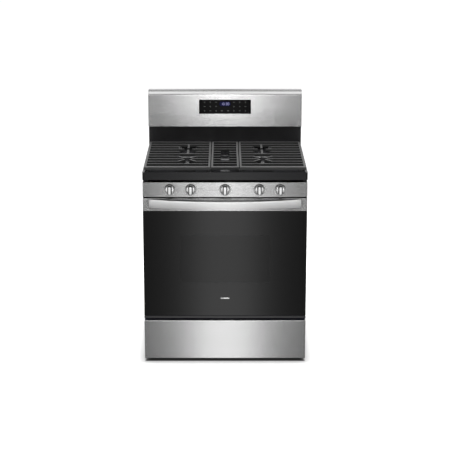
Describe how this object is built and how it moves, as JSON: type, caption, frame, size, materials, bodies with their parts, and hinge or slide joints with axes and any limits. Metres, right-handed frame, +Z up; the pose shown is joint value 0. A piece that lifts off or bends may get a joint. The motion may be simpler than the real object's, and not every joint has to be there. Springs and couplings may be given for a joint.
{
  "type": "freestanding gas range",
  "caption": "Gas range with cast grates over sealed burners, push-to-turn knobs on a leaning panel, drop-down oven door, storage drawer and rear console.",
  "frame": {"origin": "on the floor under the middle of the whole range", "axes": "+Z up, -Y towards the cook, +X to the right seen from the front"},
  "size_m": [0.759, 0.733, 1.19],
  "materials": {
    "steel": "brushed",
    "steel_polished": "polished",
    "galvanized": "satin",
    "black_paint": "satin",
    "enamel": "gloss",
    "oven_enamel": "gloss",
    "cast_iron": "matt",
    "aluminium": "cast",
    "brass": "machined",
    "black_glass": "gloss",
    "clear_glass": "gloss",
    "ceramic": "glazed",
    "wool": "matt",
    "seal": "woven",
    "chrome_wire": "polished",
    "black_plastic": "matt",
    "board": "satin",
    "lamp_glass": "gloss"
  },
  "bodies": {
    "range_body": {"side_panel_left": "black_paint", "side_panel_right": "black_paint", "back_panel": "galvanized", "base_frame": "galvanized", "front_frame": "oven_enamel", "oven_liner": "oven_enamel", "oven_floor": "oven_enamel", "oven_insulation": "wool", "door_seal": "seal", "oven_rack_lower": "chrome_wire", "oven_rack_upper": "chrome_wire", "bake_burner": "galvanized", "broil_burner": "galvanized", "oven_lamp": "lamp_glass", "temperature_probe": "steel_polished", "cooktop": "enamel", "burner_heads": "aluminium", "burner_caps": "enamel", "spark_electrodes": "ceramic", "gas_manifold": "galvanized", "gas_valves": "brass", "burner_tubes": "aluminium", "pressure_regulator": "aluminium", "control_panel": "steel", "knob_bezels": "steel_polished", "console_face": "steel", "console_lower_panel": "enamel", "console_rear_cover": "galvanized", "display_glass": "black_glass", "control_board": "board", "hinge_arms": "galvanized", "drawer_rails": "galvanized", "rear_screws": "steel_polished", "cord_gland": "black_plastic"},
    "oven_door": {"door_frame": "black_paint", "door_glass": "black_glass", "door_top_band": "steel", "door_bottom_trim": "black_paint", "door_inner_panel": "oven_enamel", "door_inner_glass": "clear_glass", "door_handle": "steel"},
    "storage_drawer": {"drawer_front": "steel", "drawer_tub": "black_paint"},
    "left_grate": {"grate_left": "cast_iron"},
    "middle_grate": {"grate_middle": "cast_iron"},
    "right_grate": {"grate_right": "cast_iron"},
    "foot_fl": {"foot_front_left": "black_plastic"},
    "foot_fr": {"foot_front_right": "black_plastic"},
    "foot_rl": {"foot_rear_left": "black_plastic"},
    "foot_rr": {"foot_rear_right": "black_plastic"},
    "stem_1": {"valve_stem_1": "steel_polished"},
    "knob_1": {"knob_1": "steel_polished"},
    "stem_2": {"valve_stem_2": "steel_polished"},
    "knob_2": {"knob_2": "steel_polished"},
    "stem_3": {"valve_stem_3": "steel_polished"},
    "knob_3": {"knob_3": "steel_polished"},
    "stem_4": {"valve_stem_4": "steel_polished"},
    "knob_4": {"knob_4": "steel_polished"},
    "stem_5": {"valve_stem_5": "steel_polished"},
    "knob_5": {"knob_5": "steel_polished"}
  },
  "joints": [
    {"name": "oven_door_hinge", "type": "hinge", "parent": "range_body", "child": "oven_door", "pos_m": [0, -0.2925, 0.232], "axis": [1, 0, 0], "range_deg": [0, 90], "stiffness_Nm_per_rad": 20, "springref_deg": -17.19},
    {"name": "drawer_pull", "type": "slide", "parent": "range_body", "child": "storage_drawer", "axis": [0, -1, 0], "range_m": [0, 0.4]},
    {"name": "knob_1_push", "type": "slide", "parent": "range_body", "child": "stem_1", "axis": [0, 0.9973, -0.0733], "range_m": [0, 0.003], "stiffness_N_per_m": 2000, "springref_m": -0.002},
    {"name": "knob_1_turn", "type": "hinge", "parent": "stem_1", "child": "knob_1", "pos_m": [-0.254, -0.304, 0.833], "axis": [0, -0.9973, 0.0733], "range_deg": [0, 240]},
    {"name": "knob_2_push", "type": "slide", "parent": "range_body", "child": "stem_2", "axis": [0, 0.9973, -0.0733], "range_m": [0, 0.003], "stiffness_N_per_m": 2000, "springref_m": -0.002},
    {"name": "knob_2_turn", "type": "hinge", "parent": "stem_2", "child": "knob_2", "pos_m": [-0.158, -0.304, 0.833], "axis": [0, -0.9973, 0.0733], "range_deg": [0, 240]},
    {"name": "knob_3_push", "type": "slide", "parent": "range_body", "child": "stem_3", "axis": [0, 0.9973, -0.0733], "range_m": [0, 0.003], "stiffness_N_per_m": 2000, "springref_m": -0.002},
    {"name": "knob_3_turn", "type": "hinge", "parent": "stem_3", "child": "knob_3", "pos_m": [0, -0.304, 0.833], "axis": [0, -0.9973, 0.0733], "range_deg": [0, 240]},
    {"name": "knob_4_push", "type": "slide", "parent": "range_body", "child": "stem_4", "axis": [0, 0.9973, -0.0733], "range_m": [0, 0.003], "stiffness_N_per_m": 2000, "springref_m": -0.002},
    {"name": "knob_4_turn", "type": "hinge", "parent": "stem_4", "child": "knob_4", "pos_m": [0.158, -0.304, 0.833], "axis": [0, -0.9973, 0.0733], "range_deg": [0, 240]},
    {"name": "knob_5_push", "type": "slide", "parent": "range_body", "child": "stem_5", "axis": [0, 0.9973, -0.0733], "range_m": [0, 0.003], "stiffness_N_per_m": 2000, "springref_m": -0.002},
    {"name": "knob_5_turn", "type": "hinge", "parent": "stem_5", "child": "knob_5", "pos_m": [0.254, -0.304, 0.833], "axis": [0, -0.9973, 0.0733], "range_deg": [0, 240]},
    {"name": "left_grate_lift", "type": "slide", "parent": "range_body", "child": "left_grate", "axis": [0, 0, 1], "range_m": [0, 0.06]},
    {"name": "middle_grate_lift", "type": "slide", "parent": "range_body", "child": "middle_grate", "axis": [0, 0, 1], "range_m": [0, 0.06]},
    {"name": "right_grate_lift", "type": "slide", "parent": "range_body", "child": "right_grate", "axis": [0, 0, 1], "range_m": [0, 0.06]},
    {"name": "foot_fl_level", "type": "slide", "parent": "range_body", "child": "foot_fl", "axis": [0, 0, -1], "range_m": [0, 0.02]},
    {"name": "foot_fr_level", "type": "slide", "parent": "range_body", "child": "foot_fr", "axis": [0, 0, -1], "range_m": [0, 0.02]},
    {"name": "foot_rl_level", "type": "slide", "parent": "range_body", "child": "foot_rl", "axis": [0, 0, -1], "range_m": [0, 0.02]},
    {"name": "foot_rr_level", "type": "slide", "parent": "range_body", "child": "foot_rr", "axis": [0, 0, -1], "range_m": [0, 0.02]}
  ]
}
